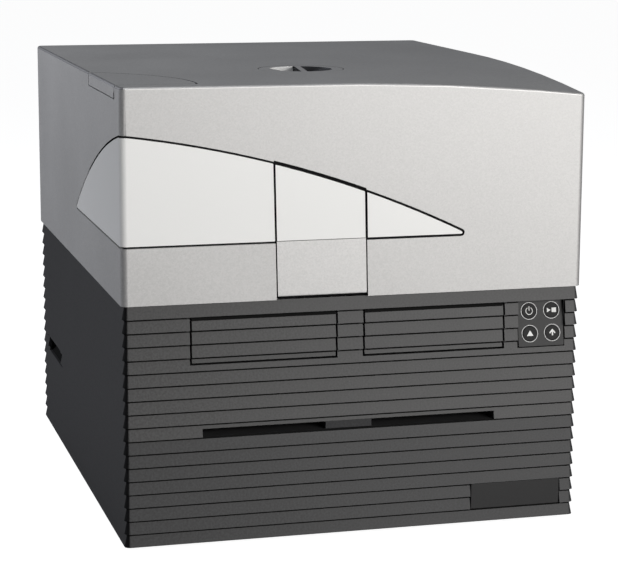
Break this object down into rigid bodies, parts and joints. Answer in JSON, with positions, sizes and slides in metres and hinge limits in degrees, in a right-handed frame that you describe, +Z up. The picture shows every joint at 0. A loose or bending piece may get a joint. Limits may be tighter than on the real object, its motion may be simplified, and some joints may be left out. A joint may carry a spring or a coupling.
{
  "type": "microplate reader",
  "caption": "Bench-top microplate reader with a slatted base, belt-driven plate tray, flap doors, filter drawer, keypad, cuvette lid and round access port.",
  "frame": {"origin": "middle of the footprint on the bench, under the feet", "axes": "+Z up, -Y out of the front face, +X to the right seen from the front"},
  "size_m": [0.49, 0.58, 0.4744],
  "materials": {
    "dark_plastic": "fine-grained moulded plastic, satin",
    "side_plastic": "fine-grained moulded plastic, satin",
    "silver_paint": "metallic silver paint with fine speckle",
    "white_fascia": "satin white moulded fascia",
    "black_plastic": "black moulded plastic",
    "keypad_film": "satin dark keypad",
    "ring_silver": "bright thin rings",
    "button_cap": "satin dark caps with pale marks",
    "rubber": "moulded rubber",
    "steel": "bright steel",
    "sheet_metal": "zinc-plated sheet",
    "cast_deck": "machined plate",
    "board_green": "circuit board",
    "foam": "open foam filter",
    "module_black": "black anodised housing",
    "filter_glass": "coloured filter glass",
    "belt": "toothed belt",
    "grey_plate": "grey powder coat"
  },
  "bodies": {
    "housing": {"base_pan": "sheet_metal", "feet": "rubber", "foot_screws": "steel", "front_panel_upper": "dark_plastic", "front_panel_lower": "dark_plastic", "left_side_panel": "side_plastic", "right_side_panel": "side_plastic", "grip_pockets": "black_plastic", "rear_panel": "grey_plate", "panel_screws": "steel", "fan_frame": "black_plastic", "power_inlet": "black_plastic", "data_ports": "steel", "slot_duct": "dark_plastic", "air_filter": "foam", "blank_plate": "keypad_film", "keypad_plate": "keypad_film", "button_rings": "ring_silver", "keypad_board": "board_green", "chassis_posts": "sheet_metal", "instrument_deck": "cast_deck", "optics_plate": "cast_deck", "left_door_frame": "black_plastic", "right_bay": "black_plastic", "hinge_pins": "steel", "guide_rods": "steel", "rod_blocks": "cast_deck", "tray_motor": "module_black", "drive_belt": "belt", "power_supply": "sheet_metal", "main_board": "board_green", "imaging_module": "module_black", "optics_tower": "module_black", "lamp_module": "sheet_metal", "detector_module": "module_black", "upper_housing": "silver_paint", "fascia_frame": "black_plastic", "left_fascia": "white_fascia", "right_fascia": "white_fascia", "filter_bay": "black_plastic", "cuvette_well": "black_plastic", "port_collar": "black_plastic"},
    "plate_carriage": {"plate_tray": "module_black", "tray_carriage": "cast_deck"},
    "left_door": {"left_door": "dark_plastic"},
    "right_door": {"right_door": "dark_plastic"},
    "drive_pulley": {"drive_pulley": "steel"},
    "idler_pulley": {"idler_pulley": "steel"},
    "filter_door": {"filter_door": "silver_paint", "filter_door_inlay": "white_fascia"},
    "filter_drawer": {"filter_carriage": "module_black", "filter_slides": "steel", "filter_glasses": "filter_glass"},
    "cuvette_lid": {"cuvette_lid": "silver_paint"},
    "port_cap": {"port_cap": "silver_paint"},
    "fan_rotor": {"fan_rotor": "black_plastic"},
    "power_button": {"power_button": "button_cap"},
    "run_button": {"run_button": "button_cap"},
    "eject_button": {"eject_button": "button_cap"},
    "up_button": {"up_button": "button_cap"}
  },
  "joints": [
    {"name": "tray_slide", "type": "slide", "parent": "housing", "child": "plate_carriage", "axis": [0, -1, 0], "range_m": [0, 0.3]},
    {"name": "left_door_hinge", "type": "hinge", "parent": "housing", "child": "left_door", "pos_m": [-0.0979, -0.2832, 0.2383], "axis": [-1, 0, 0], "range_deg": [0, 75]},
    {"name": "right_door_hinge", "type": "hinge", "parent": "housing", "child": "right_door", "pos_m": [0.0839, -0.2832, 0.2383], "axis": [-1, 0, 0], "range_deg": [0, 75]},
    {"name": "drive_pulley_spin", "type": "hinge", "parent": "housing", "child": "drive_pulley", "pos_m": [-0.0979, 0.12, 0.186], "axis": [0, 0, -1], "range_deg": [0, 2150]},
    {"name": "idler_pulley_spin", "type": "hinge", "parent": "housing", "child": "idler_pulley", "pos_m": [-0.0979, -0.235, 0.188], "axis": [0, 0, -1], "range_deg": [0, 2150]},
    {"name": "filter_slide", "type": "slide", "parent": "housing", "child": "filter_drawer", "axis": [0, -1, 0], "range_m": [0, 0.1]},
    {"name": "filter_door_hinge", "type": "hinge", "parent": "housing", "child": "filter_door", "pos_m": [-0.038, -0.286, 0.261], "axis": [1, 0, 0], "range_deg": [0, 85]},
    {"name": "cuvette_lid_hinge", "type": "hinge", "parent": "housing", "child": "cuvette_lid", "pos_m": [-0.205, -0.2588, 0.4704], "axis": [1, 0, 0], "range_deg": [0, 85]},
    {"name": "port_cap_turn", "type": "hinge", "parent": "housing", "child": "port_cap", "pos_m": [-0.014, -0.112, 0.465], "axis": [0, 0, 1], "range_deg": [0, 45]},
    {"name": "fan_spin", "type": "hinge", "parent": "housing", "child": "fan_rotor", "pos_m": [0.15, 0.27, 0.2], "axis": [0, 1, 0], "continuous": true},
    {"name": "power_press", "type": "slide", "parent": "housing", "child": "power_button", "axis": [0, 0.9829, -0.184], "range_m": [0, 0.001], "stiffness_N_per_m": 600},
    {"name": "run_press", "type": "slide", "parent": "housing", "child": "run_button", "axis": [0, 0.9829, -0.184], "range_m": [0, 0.001], "stiffness_N_per_m": 600},
    {"name": "eject_press", "type": "slide", "parent": "housing", "child": "eject_button", "axis": [0, 0.9829, -0.184], "range_m": [0, 0.001], "stiffness_N_per_m": 600},
    {"name": "up_press", "type": "slide", "parent": "housing", "child": "up_button", "axis": [0, 0.9829, -0.184], "range_m": [0, 0.001], "stiffness_N_per_m": 600}
  ],
  "couplings": [
    {"joint": "left_door_hinge", "follows": "tray_slide", "rad_per_m": 4.3633},
    {"joint": "drive_pulley_spin", "follows": "tray_slide", "rad_per_m": 125},
    {"joint": "idler_pulley_spin", "follows": "tray_slide", "rad_per_m": 125},
    {"joint": "filter_door_hinge", "follows": "filter_slide", "rad_per_m": 14.835}
  ]
}
